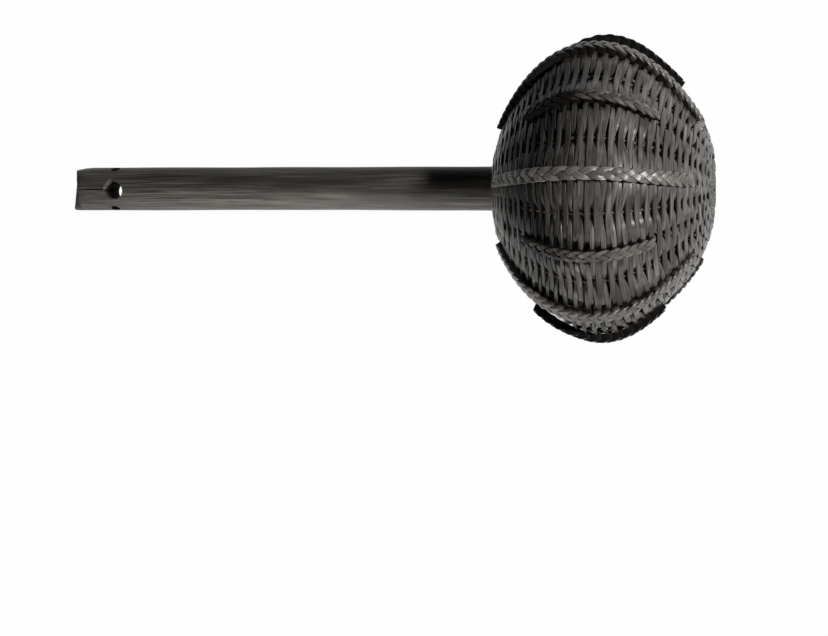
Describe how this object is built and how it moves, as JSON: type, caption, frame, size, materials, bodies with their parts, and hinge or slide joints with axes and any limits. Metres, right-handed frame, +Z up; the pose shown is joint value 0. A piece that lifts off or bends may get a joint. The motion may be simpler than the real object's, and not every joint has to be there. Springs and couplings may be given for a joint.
{
  "type": "handled rattle",
  "caption": "Rattle with a woven cane globe, ridged with plaits, on a straight wooden stick, with loose seeds inside that strike the wall when it is shaken.",
  "frame": {"origin": "middle of the bounding box, on the surface that the rattle lies on", "axes": "+X along the stick from the butt to the head, seen from above; +Z up, away from that surface"},
  "size_m": [0.3792, 0.177, 0.1742],
  "materials": {
    "wood": "worn, slightly glossy",
    "stake_cane": "split cane, matt",
    "weft_cane": "split cane, satin",
    "plait_cane": "split cane, satin",
    "cord": "twisted fibre",
    "seed": "smooth, hard"
  },
  "bodies": {
    "rattle": {"stick": "wood", "stake_01": "stake_cane", "stake_02": "stake_cane", "stake_03": "stake_cane", "stake_04": "stake_cane", "stake_05": "stake_cane", "stake_06": "stake_cane", "stake_07": "stake_cane", "stake_08": "stake_cane", "stake_09": "stake_cane", "stake_10": "stake_cane", "stake_11": "stake_cane", "stake_12": "stake_cane", "stake_13": "stake_cane", "stake_14": "stake_cane", "stake_15": "stake_cane", "stake_16": "stake_cane", "stake_17": "stake_cane", "stake_18": "stake_cane", "stake_19": "stake_cane", "stake_20": "stake_cane", "stake_21": "stake_cane", "stake_22": "stake_cane", "stake_23": "stake_cane", "stake_24": "stake_cane", "weft_a_1": "weft_cane", "weft_a_2": "weft_cane", "weft_a_3": "weft_cane", "weft_a_4": "weft_cane", "weft_b_1": "weft_cane", "weft_b_2": "weft_cane", "weft_b_3": "weft_cane", "weft_b_4": "weft_cane", "neck_coil": "weft_cane", "crown_coil": "weft_cane", "plait_01_long": "plait_cane", "plait_02_short": "plait_cane", "plait_03_long": "plait_cane", "plait_04_short": "plait_cane", "plait_05_long": "plait_cane", "plait_06_short": "plait_cane", "plait_07_long": "plait_cane", "plait_08_short": "plait_cane", "plait_09_long": "plait_cane", "plait_10_short": "plait_cane", "plait_11_long": "plait_cane", "plait_12_short": "plait_cane", "neck_lashing": "cord", "crown_lashing": "cord"},
    "seed_01": {"seed_01": "seed"},
    "seed_02": {"seed_02": "seed"},
    "seed_03": {"seed_03": "seed"},
    "seed_04": {"seed_04": "seed"},
    "seed_05": {"seed_05": "seed"},
    "seed_06": {"seed_06": "seed"},
    "seed_07": {"seed_07": "seed"},
    "seed_08": {"seed_08": "seed"},
    "seed_09": {"seed_09": "seed"}
  },
  "joints": [
    {"name": "seed_01_toss", "type": "slide", "parent": "rattle", "child": "seed_01", "axis": [0, 0, 1], "range_m": [0, 0.129]},
    {"name": "seed_02_toss", "type": "slide", "parent": "rattle", "child": "seed_02", "axis": [0, 0, 1], "range_m": [0, 0.05]},
    {"name": "seed_03_toss", "type": "slide", "parent": "rattle", "child": "seed_03", "axis": [0, 0, 1], "range_m": [0, 0.056]},
    {"name": "seed_04_toss", "type": "slide", "parent": "rattle", "child": "seed_04", "axis": [0, 0, 1], "range_m": [0, 0.044]},
    {"name": "seed_05_toss", "type": "slide", "parent": "rattle", "child": "seed_05", "axis": [0, 0, 1], "range_m": [0, 0.051]},
    {"name": "seed_06_toss", "type": "slide", "parent": "rattle", "child": "seed_06", "axis": [0, 0, 1], "range_m": [0, 0.055]},
    {"name": "seed_07_toss", "type": "slide", "parent": "rattle", "child": "seed_07", "axis": [0, 0, 1], "range_m": [0, 0.05]},
    {"name": "seed_08_toss", "type": "slide", "parent": "rattle", "child": "seed_08", "axis": [0, 0, 1], "range_m": [0, 0.056]},
    {"name": "seed_09_toss", "type": "slide", "parent": "rattle", "child": "seed_09", "axis": [0, 0, 1], "range_m": [0, 0.129]}
  ]
}
